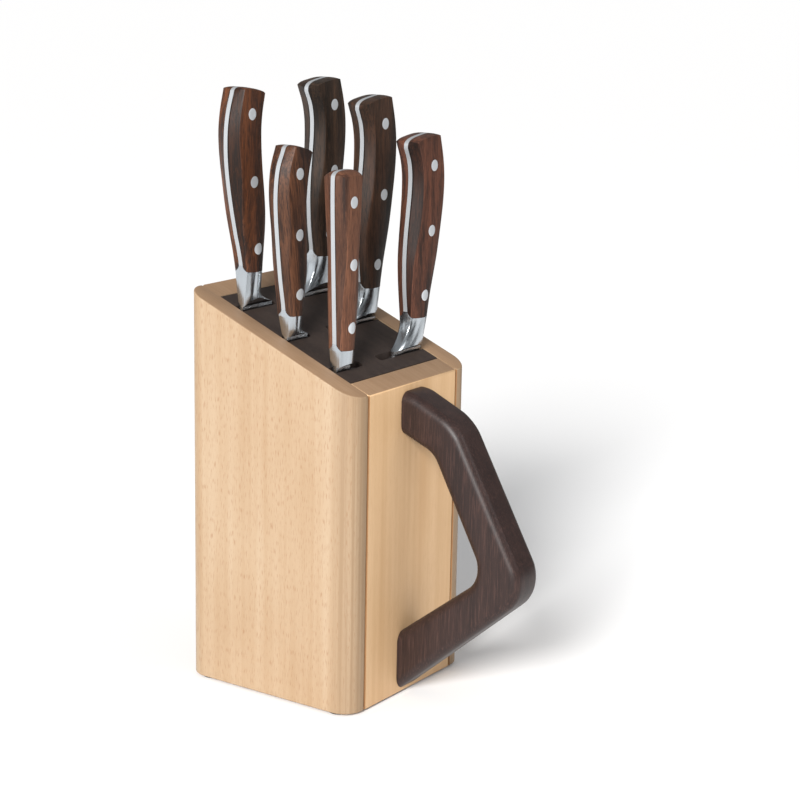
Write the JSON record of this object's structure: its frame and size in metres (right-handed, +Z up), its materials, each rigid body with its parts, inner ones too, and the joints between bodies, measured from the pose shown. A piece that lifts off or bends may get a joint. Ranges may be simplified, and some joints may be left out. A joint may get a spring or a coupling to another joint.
{
  "type": "knife block with knives",
  "caption": "Beech knife block with a sloping slotted top, a dark carrying handle and forged knives with riveted wooden handles that lift out.",
  "frame": {"origin": "centre of the bounding box on the surface the feet stand on", "axes": "+Z up, +X out through the front board towards the carrying handle, the knives stand in two rows along X"},
  "size_m": [0.2134, 0.126, 0.3761],
  "materials": {
    "beech": "clear satin oil on light beech",
    "insert_wood": "dark stained, matt",
    "dark_wood": "dark stained, satin",
    "rosewood": "polished, with dark streaks",
    "steel": "fine brushed",
    "rivet_steel": "ground flush, satin",
    "zinc": "zinc plated",
    "rubber": "matt"
  },
  "bodies": {
    "block": {"side_board_left": "beech", "side_board_right": "beech", "front_board": "beech", "back_board": "beech", "base_board": "beech", "centre_divider": "beech", "front_cleat": "beech", "back_cleat": "beech", "slotted_insert": "insert_wood", "carrying_handle": "dark_wood", "handle_screw_upper": "zinc", "handle_screw_lower": "zinc", "foot_back_left": "rubber", "foot_back_right": "rubber", "foot_front_left": "rubber", "foot_front_right": "rubber"},
    "bread_knife": {"bread_knife_blade": "steel", "bread_knife_scale_left": "rosewood", "bread_knife_scale_right": "rosewood", "bread_knife_rivet_1": "rivet_steel", "bread_knife_rivet_2": "rivet_steel", "bread_knife_rivet_3": "rivet_steel"},
    "chefs_knife": {"chefs_knife_blade": "steel", "chefs_knife_scale_left": "rosewood", "chefs_knife_scale_right": "rosewood", "chefs_knife_rivet_1": "rivet_steel", "chefs_knife_rivet_2": "rivet_steel", "chefs_knife_rivet_3": "rivet_steel"},
    "paring_knife": {"paring_knife_blade": "steel", "paring_knife_scale_left": "rosewood", "paring_knife_scale_right": "rosewood", "paring_knife_rivet_1": "rivet_steel", "paring_knife_rivet_2": "rivet_steel", "paring_knife_rivet_3": "rivet_steel"},
    "santoku_knife": {"santoku_knife_blade": "steel", "santoku_knife_scale_left": "rosewood", "santoku_knife_scale_right": "rosewood", "santoku_knife_rivet_1": "rivet_steel", "santoku_knife_rivet_2": "rivet_steel", "santoku_knife_rivet_3": "rivet_steel"},
    "utility_knife": {"utility_knife_blade": "steel", "utility_knife_scale_left": "rosewood", "utility_knife_scale_right": "rosewood", "utility_knife_rivet_1": "rivet_steel", "utility_knife_rivet_2": "rivet_steel", "utility_knife_rivet_3": "rivet_steel"},
    "small_chefs_knife": {"small_chefs_knife_blade": "steel", "small_chefs_knife_scale_left": "rosewood", "small_chefs_knife_scale_right": "rosewood", "small_chefs_knife_rivet_1": "rivet_steel", "small_chefs_knife_rivet_2": "rivet_steel", "small_chefs_knife_rivet_3": "rivet_steel"}
  },
  "joints": [
    {"name": "bread_knife_lift", "type": "slide", "parent": "block", "child": "bread_knife", "axis": [0, 0, 1], "range_m": [0, 0.26]},
    {"name": "chefs_knife_lift", "type": "slide", "parent": "block", "child": "chefs_knife", "axis": [0, 0, 1], "range_m": [0, 0.255]},
    {"name": "paring_knife_lift", "type": "slide", "parent": "block", "child": "paring_knife", "axis": [0, 0, 1], "range_m": [0, 0.19]},
    {"name": "santoku_knife_lift", "type": "slide", "parent": "block", "child": "santoku_knife", "axis": [0, 0, 1], "range_m": [0, 0.25]},
    {"name": "utility_knife_lift", "type": "slide", "parent": "block", "child": "utility_knife", "axis": [0, 0, 1], "range_m": [0, 0.22]},
    {"name": "small_chefs_knife_lift", "type": "slide", "parent": "block", "child": "small_chefs_knife", "axis": [0, 0, 1], "range_m": [0, 0.25]}
  ]
}
